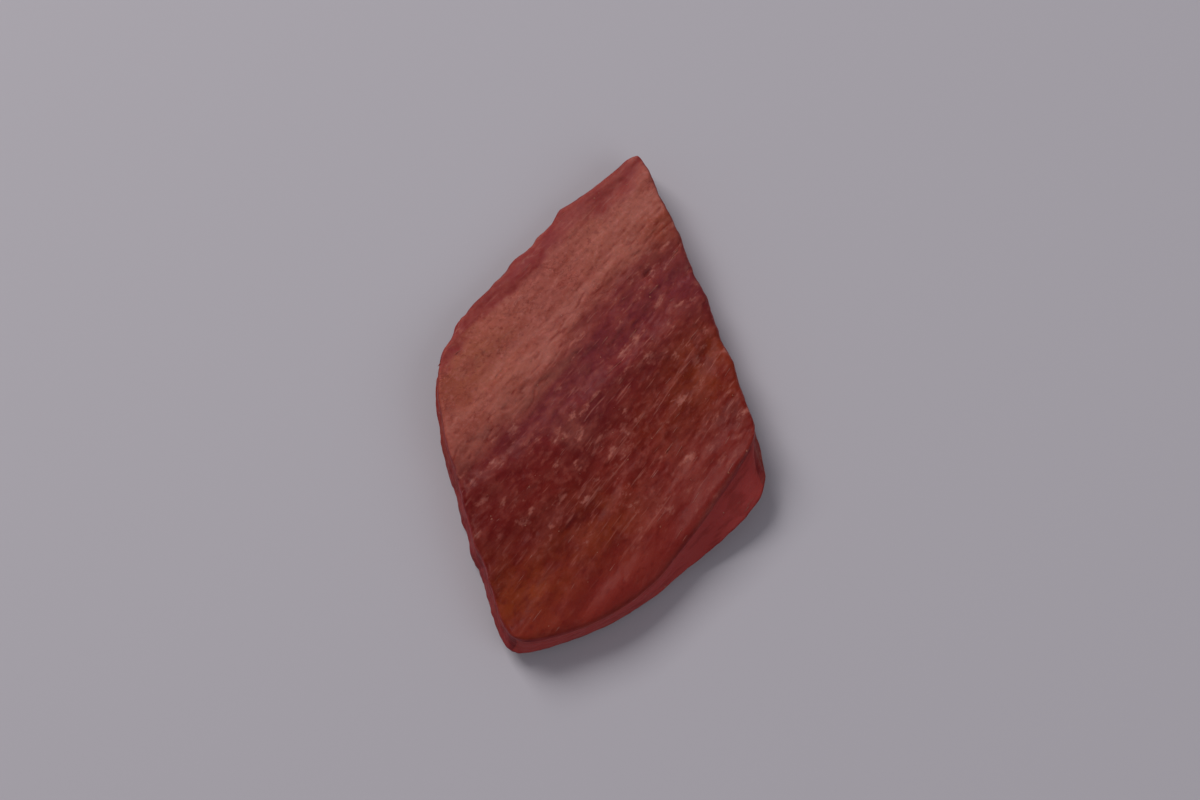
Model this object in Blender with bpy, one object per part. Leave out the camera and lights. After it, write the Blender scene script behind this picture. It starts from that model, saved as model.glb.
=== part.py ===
"""One slice of dried papaya, lying on its underside.

Blender 4.5, metres, +Z up. The origin is on the surface that the slice rests on, under the middle of
the slice. +Y points to the slice's sharpest corner, the tip, and +X to its rounded right corner.

The slice is a slab with four cut sides. It starts as a box that is divided into a lattice, and each
lattice point, from -1 to +1 along the box's three axes, is then moved to its place in the slab.
"""
import math

import bmesh
import bpy
from mathutils import Vector

# The four corners in plan, before they are rounded: at the edge of the underside, and at the edge of
# the upper face. They differ most at the right corner, where the lower right side was cut aslant.
# The sign pair is the corner's place on the lattice.
UNDER_CORNERS = {
    (1, 1): Vector((0.0054, 0.0347)),
    (1, -1): Vector((0.0241, -0.0133)),
    (-1, -1): Vector((-0.0120, -0.0349)),
    (-1, 1): Vector((-0.0236, 0.0040)),
}
UPPER_CORNERS = {
    (1, 1): Vector((0.0052, 0.0345)),
    (1, -1): Vector((0.0212, -0.0060)),
    (-1, -1): Vector((-0.0116, -0.0341)),
    (-1, 1): Vector((-0.0231, 0.0043)),
}
# How sharp each corner is: a high value keeps it a point, a low one rounds it widely.
UNDER_SHARPNESS = {(1, 1): 30, (1, -1): 5, (-1, -1): 12, (-1, 1): 5}
UPPER_SHARPNESS = {(1, 1): 30, (1, -1): 14, (-1, -1): 12, (-1, 1): 5}

# Each side's bow outwards and its skew, which moves the bow's top past the middle when it is over 1.
SIDE_BOW = {"right": (0.0007, 1.0), "lower": (0.0026, 1.5), "left": (0.0006, 1.0), "torn": (0.0024, 1.0)}
# Each side's waves as pairs of height and number. The upper left side is torn rather than cut, so its
# waves are the highest, and they lean over into small steps.
SIDE_WAVES = {
    "right": ((0.00018, 4.3), (0.00008, 9.1)),
    "lower": ((0.00012, 2.2),),
    "left": ((0.00020, 3.1), (0.00006, 7.7)),
    "torn": ((0.00045, 1.7), (0.00028, 3.9), (0.00008, 9.3)),
}
WAVE_LEAN = 0.7
# Drying drew each side in halfway up, except the lower one, which is a plain slanting cut.
SIDE_HOLLOW = {"right": 0.0005, "lower": 0.0, "left": 0.0005, "torn": 0.0005}
SIDE_REACH = 6
# The upper edge of the lower side stands out further, so the slant is wide only near the right corner.
SLANT_BULGE = 0.0030

# The slab's thickness at its crest, how it falls on each side of that fold, and how it thins out
# towards the blunt corner at the lower left.
CREST_THICKNESS = 0.0074
FLANK_SLOPE = 0.33
FACE_SLOPE = 0.055
FOLD_SOFTNESS = 0.0022
EDGE_ROUNDING = 0.0011
THINNING = 0.0012
THINNING_REACH = 0.014

# The crest runs beside the torn side at CREST_INSET. From CLOSING_START along that side it closes in on
# it by CREST_CLOSING, over CLOSING_RUN.
CREST_INSET = 0.0116
CREST_CLOSING = 0.0026
CLOSING_START = 0.0110
CLOSING_RUN = 0.0110

# Past the crest lies a valley. It is VALLEY_DEPTH deep, its middle lies VALLEY_PLACE past the crest, and
# it widens towards the right side, from VALLEY_END along the torn side on.
VALLEY_DEPTH = 0.0006
VALLEY_PLACE = 0.0034
VALLEY_WIDENING = 0.11
VALLEY_END = -0.0080

# The underside is flat on a rounded rectangle round the middle, and beyond that spot it rises
# towards the corners.
REST_CENTRE = Vector((-0.0010, -0.0015))
REST_HALF_LENGTH = 0.0190
REST_HALF_WIDTH = 0.0115
REST_SQUARENESS = 6
REST_TURN = math.radians(72.0)
CORNER_LIFT = 0.0026
LIFT_POWER = 1.6

# The strands of the flesh spread like a fan from the stalk end of the fruit, far to the upper right.
STALK_END = Vector((0.120, 0.150))
MIDDLE_STRAND = math.radians(-129.0)
STRAND_RADIUS = 0.190
# Ridges along the strands on the upper face: height, spacing across the strands, and the length
# along them over which a ridge sways and fades.
RIDGES = ((0.00020, 0.0083, 0.047), (0.00014, 0.0052, 0.031), (0.00010, 0.0034, 0.019))
RIDGE_SWAY = 1.3
RIDGE_FADING = 0.55
# Creases across the strands, beside the fold: height, spacing, and how wide the creased band is.
CREASE_HEIGHT = 0.00014
CREASE_SPACING = 0.0067
CREASE_BAND = 0.0055
# A shallow dish in the broad face, between the fold and the lower side.
DISH_CENTRE = Vector((0.0030, -0.0090))
DISH_DEPTH = 0.0007
DISH_RADIUS = 0.0125

# Cells along each side of the upper face and of the underside, rows on the sides, and how much
# the cells close up towards the rim.
FACE_CELLS = 38
SIDE_ROWS = 6
RIM_CROWDING = 1.3
HALF_BREADTH = 0.020

FLESH_COLOUR = (0.24, 0.028, 0.018, 1.0)
FLESH_ROUGHNESS = 0.52


def smooth_step(value):
    """Rise from 0 to 1 as value goes from 0 to 1, with level ends."""
    value = min(max(value, 0.0), 1.0)
    return value * value * (3.0 - 2.0 * value)


def soft_ramp(value, softness):
    """Return value where it is well above zero and 0 where it is well below, with a soft bend."""
    return 0.5 * (value + math.sqrt(value * value + softness * softness))


def side_shift(side, place):
    """Return how far a side stands out at place, 0 at one corner and 1 at the other."""
    half_turn = math.sin(math.pi * place)
    bow, skew = SIDE_BOW[side]
    shift = bow * math.sin(math.pi * place**skew)
    for number, (height, waves) in enumerate(SIDE_WAVES[side]):
        phase = 2.0 * math.pi * (waves * place + 0.37 * number)
        shift += height * math.sqrt(max(half_turn, 0.0)) * math.sin(phase + WAVE_LEAN * math.sin(phase))
    return shift


def blend_corners(corners, a, b):
    """Return the plan point at (a, b) of the lattice stretched between four corners."""
    point = Vector((0.0, 0.0))
    for (sign_a, sign_b), corner in corners.items():
        point += corner * (0.25 * (1.0 + sign_a * a) * (1.0 + sign_b * b))
    return point


def rounded_point(corners, sharpness, a, b):
    """Return the plan point at (a, b) with the corner nearest to it drawn in by its sharpness."""
    drawn_in = 1.0 - abs(a * b) ** sharpness / (2.0 * sharpness + 1.0)
    return blend_corners(corners, a * drawn_in, b * drawn_in)


def plan_point(a, b, c):
    """Return where lattice point (a, b, c) lies in plan, with corners rounded and sides bowed."""
    corner = (1 if a >= 0.0 else -1, 1 if b >= 0.0 else -1)
    upper = 0.5 * (1.0 + c)
    under_point = rounded_point(UNDER_CORNERS, UNDER_SHARPNESS[corner], a, b)
    upper_point = rounded_point(UPPER_CORNERS, UPPER_SHARPNESS[corner], a, b)
    point = under_point.lerp(upper_point, upper)
    for side, start, end, reach, place in (
        ("right", (1, 1), (1, -1), a, 0.5 * (1.0 - b)),
        ("lower", (1, -1), (-1, -1), -b, 0.5 * (1.0 - a)),
        ("left", (-1, -1), (-1, 1), -a, 0.5 * (1.0 + b)),
        ("torn", (-1, 1), (1, 1), b, 0.5 * (1.0 + a)),
    ):
        if reach > 0.0:
            along = (UNDER_CORNERS[end] - UNDER_CORNERS[start]).normalized()
            outward = Vector((-along.y, along.x))
            shift = side_shift(side, place) - SIDE_HOLLOW[side] * (1.0 - c * c)
            if side == "lower":
                shift += SLANT_BULGE * upper * math.sin(math.pi * place)
            point += outward * shift * reach ** SIDE_REACH
    return point


def torn_side_place(point):
    """Return how far a plan point lies along the torn side, and how far inside it."""
    start = UNDER_CORNERS[(-1, 1)]
    along = (UNDER_CORNERS[(1, 1)] - start).normalized()
    inward = Vector((along.y, -along.x))
    return (point - start).dot(along), (point - start).dot(inward)


def beyond_crest(point):
    """Return how far a plan point lies past the crest, seen from the torn side."""
    along, inside = torn_side_place(point)
    return inside - CREST_INSET + CREST_CLOSING * smooth_step((along - CLOSING_START) / CLOSING_RUN)


def valley(point):
    """Return how deep a plan point lies in the valley past the crest, from 0 to 1."""
    along = torn_side_place(point)[0]
    place = VALLEY_PLACE + VALLEY_WIDENING * max(along, VALLEY_END)
    return math.exp(-((beyond_crest(point) / place - 1.0) ** 2))


def underside_height(point):
    """Return the underside's height: zero on the flat spot, rising outside it."""
    offset = point - REST_CENTRE
    length = offset.dot(Vector((math.cos(REST_TURN), math.sin(REST_TURN)))) / REST_HALF_LENGTH
    width = offset.dot(Vector((-math.sin(REST_TURN), math.cos(REST_TURN)))) / REST_HALF_WIDTH
    reach = (abs(length) ** REST_SQUARENESS + abs(width) ** REST_SQUARENESS) ** (1.0 / REST_SQUARENESS)
    return CORNER_LIFT * max(0.0, reach - 1.0) ** LIFT_POWER


def relief(point):
    """Return the ridges along the strands and the creases beside the fold, less the valley and dish."""
    from_stalk = point - STALK_END
    across = STRAND_RADIUS * (math.atan2(from_stalk.y, from_stalk.x) - MIDDLE_STRAND)
    along = from_stalk.length
    height = 0.0
    for ridge, spacing, length in RIDGES:
        turn = 2.0 * math.pi * along / length
        fading = 1.0 + RIDGE_FADING * (math.cos(turn + across / spacing) - 1.0)
        height += ridge * fading * math.sin(2.0 * math.pi * across / spacing + RIDGE_SWAY * math.sin(turn))
    past = beyond_crest(point)
    band = math.exp(-((past - CREASE_BAND) / CREASE_BAND) ** 2)
    crease_turn = 2.0 * math.pi * along / CREASE_SPACING
    creases = math.sin(crease_turn + across / CREASE_BAND) + math.sin(0.43 * crease_turn)
    dish = DISH_DEPTH * math.exp(-((point - DISH_CENTRE).length / DISH_RADIUS) ** 2)
    return height + CREASE_HEIGHT * band * creases - VALLEY_DEPTH * valley(point) - dish


def thickness(point):
    """Return the slab's thickness: thickest at the crest, thinner down the flank and the face."""
    past = beyond_crest(point)
    flank = FLANK_SLOPE * soft_ramp(-past, FOLD_SOFTNESS)
    face = FACE_SLOPE * soft_ramp(past, FOLD_SOFTNESS)
    blunt_end = (point - UPPER_CORNERS[(-1, -1)]).length
    thinner = THINNING * (1.0 - smooth_step(blunt_end / THINNING_REACH))
    return CREST_THICKNESS - flank - face - thinner


def crowd(value):
    """Move a lattice value towards -1 or +1, so that the cells are narrower near the rim."""
    return math.copysign(1.0 - (1.0 - abs(value)) ** RIM_CROWDING, value)


def slab_point(lattice):
    """Return the place of one lattice point on the skin of the slab."""
    a = crowd(lattice.x)
    b = crowd(lattice.y)
    c = lattice.z
    point = plan_point(a, b, c)
    low = underside_height(point)
    high = low + thickness(point) + relief(point)
    rim = max(abs(a), abs(b))
    short = max(0.0, 1.0 - (1.0 - rim) * HALF_BREADTH / EDGE_ROUNDING)
    rounding = EDGE_ROUNDING * (1.0 - math.sqrt(1.0 - short * short))
    low += rounding
    high -= rounding
    return Vector((point.x, point.y, low + (high - low) * 0.5 * (1.0 + c)))


def divided_box():
    """Return a box from -1 to +1 with its faces divided into the lattice's cells."""
    box = bmesh.new()
    bmesh.ops.create_cube(box, size=2.0)
    upright = [edge for edge in box.edges if abs(edge.verts[0].co.z - edge.verts[1].co.z) > 1.0]
    bmesh.ops.subdivide_edges(box, edges=upright, cuts=SIDE_ROWS - 1, use_grid_fill=True)
    level = [edge for edge in box.edges if abs(edge.verts[0].co.z - edge.verts[1].co.z) < 0.01]
    bmesh.ops.subdivide_edges(box, edges=level, cuts=FACE_CELLS - 1, use_grid_fill=True)
    return box


def flesh_material():
    """Return the dark red, half-matt material of the dried flesh."""
    material = bpy.data.materials.new("dried_flesh")
    material.use_nodes = True
    shader = material.node_tree.nodes["Principled BSDF"]
    shader.inputs["Base Color"].default_value = FLESH_COLOUR
    shader.inputs["Roughness"].default_value = FLESH_ROUGHNESS
    shader.inputs["Metallic"].default_value = 0.0
    return material


def build_slice(collection):
    """Add the slice to the collection as one closed mesh."""
    box = divided_box()
    for vertex in box.verts:
        vertex.co = slab_point(vertex.co)
    bmesh.ops.recalc_face_normals(box, faces=box.faces)
    mesh = bpy.data.meshes.new("papaya_slice")
    box.to_mesh(mesh)
    box.free()
    mesh.shade_smooth()
    mesh.materials.append(flesh_material())
    collection.objects.link(bpy.data.objects.new("papaya_slice", mesh))


for old_object in list(bpy.data.objects):
    bpy.data.objects.remove(old_object, do_unlink=True)

slice_collection = bpy.data.collections.new("dried papaya slice")
bpy.context.scene.collection.children.link(slice_collection)
build_slice(slice_collection)
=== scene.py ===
"""The looks of one slice of dried papaya, lying on a pale floor.

Blender 4.5, metres, +Z up. The flesh is one closed skin: a box's lattice that a formula moves to the
slab's shape and then roughens along the strands of the flesh. Loose strand ends and grains of dried
sugar lie in the skin as pieces of their own.
"""
import math
from types import SimpleNamespace

import bpy
import numpy as np
from bpy.props import FloatProperty, FloatVectorProperty, IntProperty, PointerProperty
from mathutils import Matrix, Vector
from mathutils.bvhtree import BVHTree


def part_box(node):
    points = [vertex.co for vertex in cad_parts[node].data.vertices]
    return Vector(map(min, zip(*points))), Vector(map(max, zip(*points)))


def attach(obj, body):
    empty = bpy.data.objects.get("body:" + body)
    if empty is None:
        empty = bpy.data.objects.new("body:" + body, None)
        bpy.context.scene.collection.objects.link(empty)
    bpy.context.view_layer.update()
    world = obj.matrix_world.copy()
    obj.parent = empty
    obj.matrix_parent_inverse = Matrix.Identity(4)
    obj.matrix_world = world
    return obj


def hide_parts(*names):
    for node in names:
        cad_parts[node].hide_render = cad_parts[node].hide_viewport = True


bl_info = {
    "name": "Dried Papaya Slice",
    "version": (1, 0, 0),
    "blender": (4, 5, 0),
    "location": "3D View > Sidebar > Papaya",
    "description": "Models and colours one slice of dried papaya",
    "category": "Add Mesh",
}

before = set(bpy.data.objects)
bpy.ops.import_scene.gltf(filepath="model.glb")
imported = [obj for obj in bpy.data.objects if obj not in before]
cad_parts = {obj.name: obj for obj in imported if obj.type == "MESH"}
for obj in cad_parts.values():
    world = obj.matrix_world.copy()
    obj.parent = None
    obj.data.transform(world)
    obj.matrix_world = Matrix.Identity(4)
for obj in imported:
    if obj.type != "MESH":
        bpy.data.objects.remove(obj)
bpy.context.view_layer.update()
NODE = "papaya_slice"
NODE_LOW, NODE_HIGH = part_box(NODE)
BODY = "root"

# The slab's four corners in plan before they are rounded, at the underside and at the upper face.
CORNER_SIGNS = np.array(((1, 1), (1, -1), (-1, -1), (-1, 1)))
UNDER_CORNERS = np.array(((0.0054, 0.0347), (0.0241, -0.0133), (-0.0120, -0.0349), (-0.0236, 0.0040)))
UPPER_CORNERS = np.array(((0.0052, 0.0345), (0.0212, -0.0060), (-0.0116, -0.0341), (-0.0231, 0.0043)))
UNDER_SHARPNESS = np.array((30.0, 5.0, 12.0, 5.0))
UPPER_SHARPNESS = np.array((30.0, 14.0, 12.0, 5.0))

# The sides run clockwise from the tip. Each has a bow and its skew, and waves as pairs of height and
# number. All but the lower side are drawn in halfway up.
SIDES = ("right", "lower", "left", "torn")
SIDE_BOW = ((0.0007, 1.0), (0.0026, 1.5), (0.0006, 1.0), (0.0024, 1.0))
SIDE_HOLLOW = (0.0005, 0.0, 0.0005, 0.0005)
SIDE_WAVES = (
    ((0.00018, 4.3), (0.00008, 9.1)),
    ((0.00012, 2.2),),
    ((0.00020, 3.1), (0.00006, 7.7)),
    ((0.00045, 1.7), (0.00028, 3.9), (0.00008, 9.3)),
)
WAVE_LEAN = 0.7
SIDE_REACH = 6
LOWER = 1
TORN = 3
SLANT_BULGE = 0.0030

# Thickness, fold, dish and resting spot, as in the solid.
CREST_THICKNESS = 0.0074
FLANK_SLOPE = 0.33
FACE_SLOPE = 0.055
FOLD_SOFTNESS = 0.0022
THINNING = 0.0012
THINNING_REACH = 0.014
CREST_INSET = 0.0116
CREST_CLOSING = 0.0026
CLOSING_START = 0.0110
CLOSING_RUN = 0.0110
VALLEY_DEPTH = 0.0006
VALLEY_PLACE = 0.0034
VALLEY_WIDENING = 0.11
VALLEY_END = -0.0080
REST_CENTRE = np.array((-0.0010, -0.0015))
REST_HALF_LENGTH = 0.0190
REST_HALF_WIDTH = 0.0115
REST_SQUARENESS = 6
REST_TURN = math.radians(72.0)
CORNER_LIFT = 0.0026
LIFT_POWER = 1.6
DISH_CENTRE = np.array((0.0030, -0.0090))
DISH_DEPTH = 0.0007
DISH_RADIUS = 0.0125

# The strands spread like a fan from the stalk end of the fruit.
STALK_END = np.array((0.120, 0.150))
MIDDLE_STRAND = math.radians(-129.0)
STRAND_RADIUS = 0.190
RIDGES = ((0.00020, 0.0083, 0.047), (0.00014, 0.0052, 0.031), (0.00010, 0.0034, 0.019))
RIDGE_SWAY = 1.3
RIDGE_FADING = 0.55
CREASE_HEIGHT = 0.00014
CREASE_SPACING = 0.0067
CREASE_BAND = 0.0055

# Tinted places of the upper face: x, y, reach and share. Clear ones are orange, shaded ones dark red as
# painted shade, dry ones pale and tan ones brownish.
CLEAR_PLACES = (
    (0.0145, 0.0040, 0.0062, 0.70),
    (-0.0095, -0.0290, 0.0070, 1.00),
    (0.0010, -0.0185, 0.0065, 0.60),
    (0.0080, -0.0040, 0.0050, 0.30),
    (-0.0195, 0.0000, 0.0050, 0.45),
    (0.0085, 0.0240, 0.0036, 1.00),
)
SHADED_PLACES = (
    (-0.0150, -0.0160, 0.0070, 0.80),
    (0.0022, 0.0000, 0.0060, 0.35),
    (-0.0110, -0.0080, 0.0050, 0.30),
)
DRY_PLACES = (
    (0.0050, 0.0338, 0.0036, 1.20),
    (0.0052, 0.0255, 0.0048, 1.00),
    (-0.0060, 0.0080, 0.0040, 0.60),
    (-0.0115, 0.0033, 0.0036, 0.80),
    (-0.0158, -0.0012, 0.0036, 0.60),
    (-0.0029, -0.0059, 0.0036, 0.50),
    (0.0123, -0.0099, 0.0040, 0.45),
)
TAN_PLACES = ((-0.0170, 0.0050, 0.0075, 1.00), (0.0010, 0.0215, 0.0050, 0.60))

# The lattice's lines crowd towards the rim by a power. The half breadth turns its units into metres.
RIM_CROWDING = 1.12
HALF_BREADTH = 0.020

# Noises: gauge across the strands, up and along them, and seed. Where a noise is read from a plan its
# upward gauge has no effect. The tatters' gauges run along the torn side and up, and the strands have
# a share each.
STRANDS = (
    (0.45, (0.0018, 0.0018, 0.0066, 20)),
    (0.33, (0.0010, 0.0010, 0.0032, 21)),
    (0.22, (0.0006, 0.0006, 0.0016, 22)),
)
PATCHES = (0.0090, 0.0200, 0.0140, 31)
LONG_CREASES = (0.0042, 0.0040, 0.0019, 37)
SHORT_CREASES = (0.0024, 0.0020, 0.0011, 38)
CRACKS = (0.0010, 1.0, 0.0028, 39)
CRACK_BREAKS = (0.0016, 1.0, 0.0022, 40)
PITS = (0.0011, 0.0011, 0.0016, 41)
NET = (0.0022, 0.0016, 0.0028, 43)
PINCHES = (0.0026, 0.0090, 0.0030, 47)
FIBRES = (0.0007, 0.0007, 0.0019, 49)
COARSE_TATTERS = (0.0037, 0.0034, 1.0, 53)
FINE_TATTERS = (0.0013, 0.0016, 1.0, 54)
NOISE_TABLE = 256
NOISE_GAIN = 1.7
STRAND_GAIN = 1.1
WRINKLE_SEED = 81
STRAND_SEED = 61
GRAIN_SEED = 67

# Heights of the fine relief that the settings don't give, and how far inside the chord the tatters lie.
NET_HEIGHT = 0.00005
PINCH_HEIGHT = 0.00018
FIBRE_HEIGHT = 0.00009
WRINKLE_HEIGHT = 0.00020
CRACK_DEPTH = 0.00012
COARSE_TATTER_HEIGHT = 0.00034
FINE_TATTER_HEIGHT = 0.00014
TATTER_PLACE = -0.0012
TATTER_REACH = 0.0021

# Where the marks of the upper face lie and how wide they are. The wrinkle, the cracks and the flank's end
# are counted past the crest, the flecks by y, the rim from the torn side, and the band in the lattice's
# units from the lower side.
WRINKLE_PLACE = 0.0051
WRINKLE_WIDTH = 0.0006
WRINKLE_WANDER = 0.0005
CRACK_PLACE = 0.0004
CRACK_REACH = 0.0028
CRACK_STEP = 0.0001
FLANK_END = 0.0016
FLANK_FADING = 0.0042
FLECKS_START = -0.026
FLECKS_RISE = 0.014
RIM_WIDTH = 0.0032
RIM_WIDENING = 0.0014
RIM_FADING = 0.0016
BAND_END = 0.30
BAND_FADING = 0.24

# The masks that the flesh's attributes store, four in each.
MASKS = {
    "flesh_masks": ("flank", "cut", "clear", "cracked"),
    "tone_masks": ("dusky", "deep", "driest", "flecked"),
    "rim_masks": ("rim", "band", "tan", "plain"),
}

# Loose strands and sugar: vertices drawn for each one, lowest place, least upward facing, spread of the
# headings, share of a radius that is sunk, and least height over the floor.
SPARE_DRAWS = 6
STRAND_LOWEST = 0.0030
STRAND_FACING = 0.85
STRAND_SPREAD = 0.010
STRAND_SINK = 0.60
GRAIN_LOWEST = 0.0016
GRAIN_SINK = 0.3
SPINDLE_SIDES = 4
FLOOR_GAP = 0.00002

# The stage: soft lights by name, place, size, power and colour.
SOFTBOXES = (
    ("key", (-0.55, 0.62, 0.85), 0.60, 7.6, (1.0, 0.985, 0.97)),
    ("fill", (0.70, -0.45, 0.75), 0.80, 1.7, (0.93, 0.95, 1.0)),
)
ROOM_COLOUR = (0.86, 0.85, 0.92, 1.0)
ROOM_STRENGTH = 0.19
FLOOR_REACH = 2.0
FLOOR_SHADE = 0.985
SENSOR_WIDTH = 36.0
TARGET = Vector((0.0, 0.0, 0.004))


def tint(name, description, default):
    """A colour that a user may change."""
    return FloatVectorProperty(name=name, description=description, subtype="COLOR", default=default)


def metres(name, description, default):
    """A length that a user may change, in metres."""
    return FloatProperty(name=name, description=description, default=default, unit="LENGTH")


class PapayaFleshSettings(bpy.types.PropertyGroup):
    """Sizes and colours of the slice's flesh."""

    cells: IntProperty(
        name="Face Cells", description="Cells along each side of the broad faces", default=196, min=20
    )
    rows: IntProperty(name="Side Rows", description="Rows of cells on the cut sides", default=24, min=4)
    edge_rounding: metres("Edge Rounding", "Radius of the slab's edges", 0.0008)
    strand_height: metres("Strand Height", "Height of the finer strands", 0.00014)
    crease_height: metres("Crease Height", "Height of fine creases", 0.00013)
    pit_depth: metres("Pit Depth", "Depth of the pits", 0.00011)
    # Deep red: the flesh's own darker tone, and painted shade in the shaded places, the relief's hollows and
    # the dimples.
    deep_red_and_shade: tint("Deep Red", "Flesh in the hollows", (0.130, 0.0072, 0.0078))
    warm_red: tint("Warm Red", "Flesh of the broad face", (0.220, 0.0182, 0.0148))
    # Painted shade: the purplish dark of the valley past the fold.
    valley_shade_red: tint("Dusky Red", "The valley past the fold", (0.235, 0.0370, 0.0470))
    burnt_orange: tint("Burnt Orange", "Thin, clear places", (0.30, 0.046, 0.0120))
    band_red: tint("Band Red", "The smooth band at the lower side", (0.26, 0.0270, 0.0220))
    tan_brown: tint("Tan Brown", "The flank's brownish places", (0.41, 0.115, 0.066))
    rim_rose: tint("Rim Rose", "The torn rim and the cut sides", (0.28, 0.034, 0.038))
    # Dry salmon: the dry flank, painted lighter as if lit, plus painted highlights on the relief's crests
    # and bump tops, and pale streaks.
    dry_and_lit_salmon: tint("Dry Salmon", "The dry flank and the crests", (0.38, 0.090, 0.067))
    flank_light: tint("Flank Light", "Pale specks of the flank", (0.50, 0.140, 0.112))
    flank_shade: tint("Flank Shade", "Dark specks of the flank", (0.27, 0.056, 0.042))
    # Pale fleck: short dry marks, and painted glints on the strands, the hairs and the driest places.
    pale_fleck_and_glint: tint("Pale Fleck", "Short dry marks along the strands", (0.54, 0.185, 0.145))
    # Painted light: the plain slanting cut is coloured lighter to make up for the shade that falls on it.
    lit_cut_maroon: tint("Cut Maroon", "The plain slanting cut", (0.440, 0.0570, 0.0530))


class PapayaScatterSettings(bpy.types.PropertyGroup):
    """Counts, sizes and colours of the loose strands and sugar grains."""

    strand_count: IntProperty(name="Strands", description="Places tried for strand ends", default=120, min=1)
    strand_length: metres("Strand Length", "Length of a long strand end", 0.0030)
    strand_radius: metres("Strand Radius", "Half thickness of a strand end", 0.00010)
    strand_colour: tint("Strand Colour", "Pale strand ends", (0.35, 0.074, 0.050))
    strand_red: tint("Strand Red", "The reddest strand ends", (0.28, 0.040, 0.024))
    strand_mottle: tint("Strand Mottle", "Pale spots of the strand ends", (0.42, 0.11, 0.07))
    grain_count: IntProperty(name="Grains", description="Grains of dried sugar", default=110, min=1)
    grain_size: metres("Grain Size", "Half width of a large grain", 0.00015)
    grain_colour: tint("Grain Colour", "Dried sugar", (0.46, 0.165, 0.110))
    grain_amber: tint("Grain Amber", "The darkest grains", (0.38, 0.090, 0.045))
    grain_mottle: tint("Grain Mottle", "Pale spots of the grains", (0.55, 0.22, 0.15))


class PapayaStageSettings(bpy.types.PropertyGroup):
    """The floor and the camera."""

    floor_colour: tint("Floor Colour", "Pale floor", (0.59, 0.56, 0.61))
    camera_elevation: FloatProperty(
        name="Camera Elevation", description="Above the horizon", subtype="ANGLE", default=math.radians(74.0)
    )
    camera_distance: metres("Camera Distance", "From the slice to the lens", 0.445)
    lens: FloatProperty(name="Lens", description="Focal length in millimetres", default=100.0)


def smooth_step(value):
    """Rise from 0 to 1 as value goes from 0 to 1, with level ends: 3 v squared less 2 v cubed."""
    value = np.clip(value, 0.0, 1.0)
    return value * value * (3.0 - 2.0 * value)


def soft_ramp(value, softness):
    """Follow value above zero and zero below it: half of value plus the root of its square and softness."""
    return 0.5 * (value + np.sqrt(value * value + softness * softness))


def bump(value, centre, width):
    """A bell of height 1: e to the minus squared distance from centre in widths."""
    return np.exp(-(((value - centre) / width) ** 2))


def lattice_noise(x, y, z, seed):
    """Smooth noise between about -1 and 1.

    Each whole-numbered point of space has a direction drawn by the seed. A point takes the eight
    slopes of its cell's corners, each its offset from the corner times the corner's direction, and
    blends them by fifth-power steps of its place in the cell.
    """
    random = np.random.default_rng(seed)
    directions = random.normal(size=(NOISE_TABLE, 3))
    directions /= np.linalg.norm(directions, axis=1, keepdims=True)
    order = random.permutation(NOISE_TABLE)
    place = np.stack(np.broadcast_arrays(x, y, z), axis=-1)
    cell = np.floor(place).astype(np.int64)
    part = place - cell
    fade = part**3 * (part * (part * 6.0 - 15.0) + 10.0)
    total = np.zeros(place.shape[:-1])
    for corner in np.ndindex(2, 2, 2):
        corner = np.array(corner)
        at = cell + corner
        drawn = order[(at[..., 0]) % NOISE_TABLE]
        drawn = order[(drawn + at[..., 1]) % NOISE_TABLE]
        drawn = order[(drawn + at[..., 2]) % NOISE_TABLE]
        slope = ((part - corner) * directions[drawn]).sum(axis=-1)
        total += slope * np.prod(np.where(corner == 1, fade, 1.0 - fade), axis=-1)
    return total * NOISE_GAIN


def box_lattice(cells, rows):
    """Return the points and quads of a box from -1 to 1 whose skin is one closed net.

    The upper face and the underside are square grids of a and b. The sides are a belt round the
    loop of border points, and its first and last rows are the borders of the two grids.
    """
    line = np.linspace(-1.0, 1.0, cells + 1)
    a, b = (grid.ravel() for grid in np.meshgrid(line, line, indexing="ij"))
    width = cells + 1
    step = np.arange(cells)
    loop = np.concatenate(
        (step * width, cells * width + step, (cells - step) * width + cells, cells - step)
    )
    count = width * width
    levels = np.linspace(-1.0, 1.0, rows + 1)[1:-1]
    belt = np.stack(
        (np.tile(a[loop], rows - 1), np.tile(b[loop], rows - 1), np.repeat(levels, loop.size)), axis=1
    )
    under = np.stack((a, b, np.full(count, -1.0)), axis=1)
    upper = np.stack((a, b, np.full(count, 1.0)), axis=1)
    points = np.concatenate((under, upper, belt))
    i, j = (grid.ravel() for grid in np.meshgrid(step, step, indexing="ij"))
    first = i * width + j
    face = np.stack((first, first + width, first + width + 1, first + 1), axis=1)
    ring = [loop] + [2 * count + row * loop.size + np.arange(loop.size) for row in range(rows - 1)]
    ring.append(loop + count)
    ring = np.array(ring)
    after = np.roll(ring, -1, axis=1)
    side = np.stack((ring[:-1], after[:-1], after[1:], ring[1:]), axis=-1).reshape(-1, 4)
    return points, np.concatenate((face[:, ::-1], face + count, side))


def side_shift(number, place):
    """How far a side stands out: its bow's skewed half sine, plus sines of its waves that lean over."""
    half_turn = np.clip(np.sin(math.pi * place), 0.0, None)
    bow, skew = SIDE_BOW[number]
    shift = bow * np.sin(math.pi * place**skew)
    for order, (height, waves) in enumerate(SIDE_WAVES[number]):
        phase = 2.0 * math.pi * (waves * place + 0.37 * order)
        shift = shift + height * np.sqrt(half_turn) * np.sin(phase + WAVE_LEAN * np.sin(phase))
    return shift


def blend_corners(corners, a, b):
    """Plan points of (a, b) stretched between four corners, each weighed by its nearness."""
    weights = 0.25 * (1.0 + CORNER_SIGNS[:, :1] * a) * (1.0 + CORNER_SIGNS[:, 1:] * b)
    return weights.T @ corners


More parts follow.
